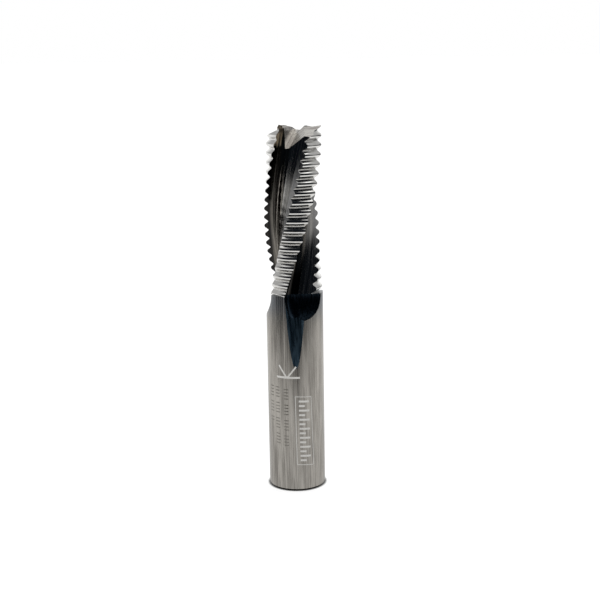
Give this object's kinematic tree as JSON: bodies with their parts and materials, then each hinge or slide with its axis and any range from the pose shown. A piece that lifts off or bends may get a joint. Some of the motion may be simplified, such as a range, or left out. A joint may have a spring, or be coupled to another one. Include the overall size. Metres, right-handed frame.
{
  "type": "spiral roughing cutter",
  "caption": "Solid carbide roughing end mill with a straight round shank, right-hand helical flutes and lands serrated with rounded ridges.",
  "frame": {"origin": "centre of the flat end of the shank, on the tool's axis", "axes": "+Z along the tool's axis from the shank to the cutting end; +X close to the cutting edge of one land at the tip; the reference view looks along +Y"},
  "size_m": [0.0142, 0.0142, 0.09],
  "materials": {
    "carbide": "ground"
  },
  "bodies": {
    "root": {"cutter": "carbide"}
  },
  "joints": []
}
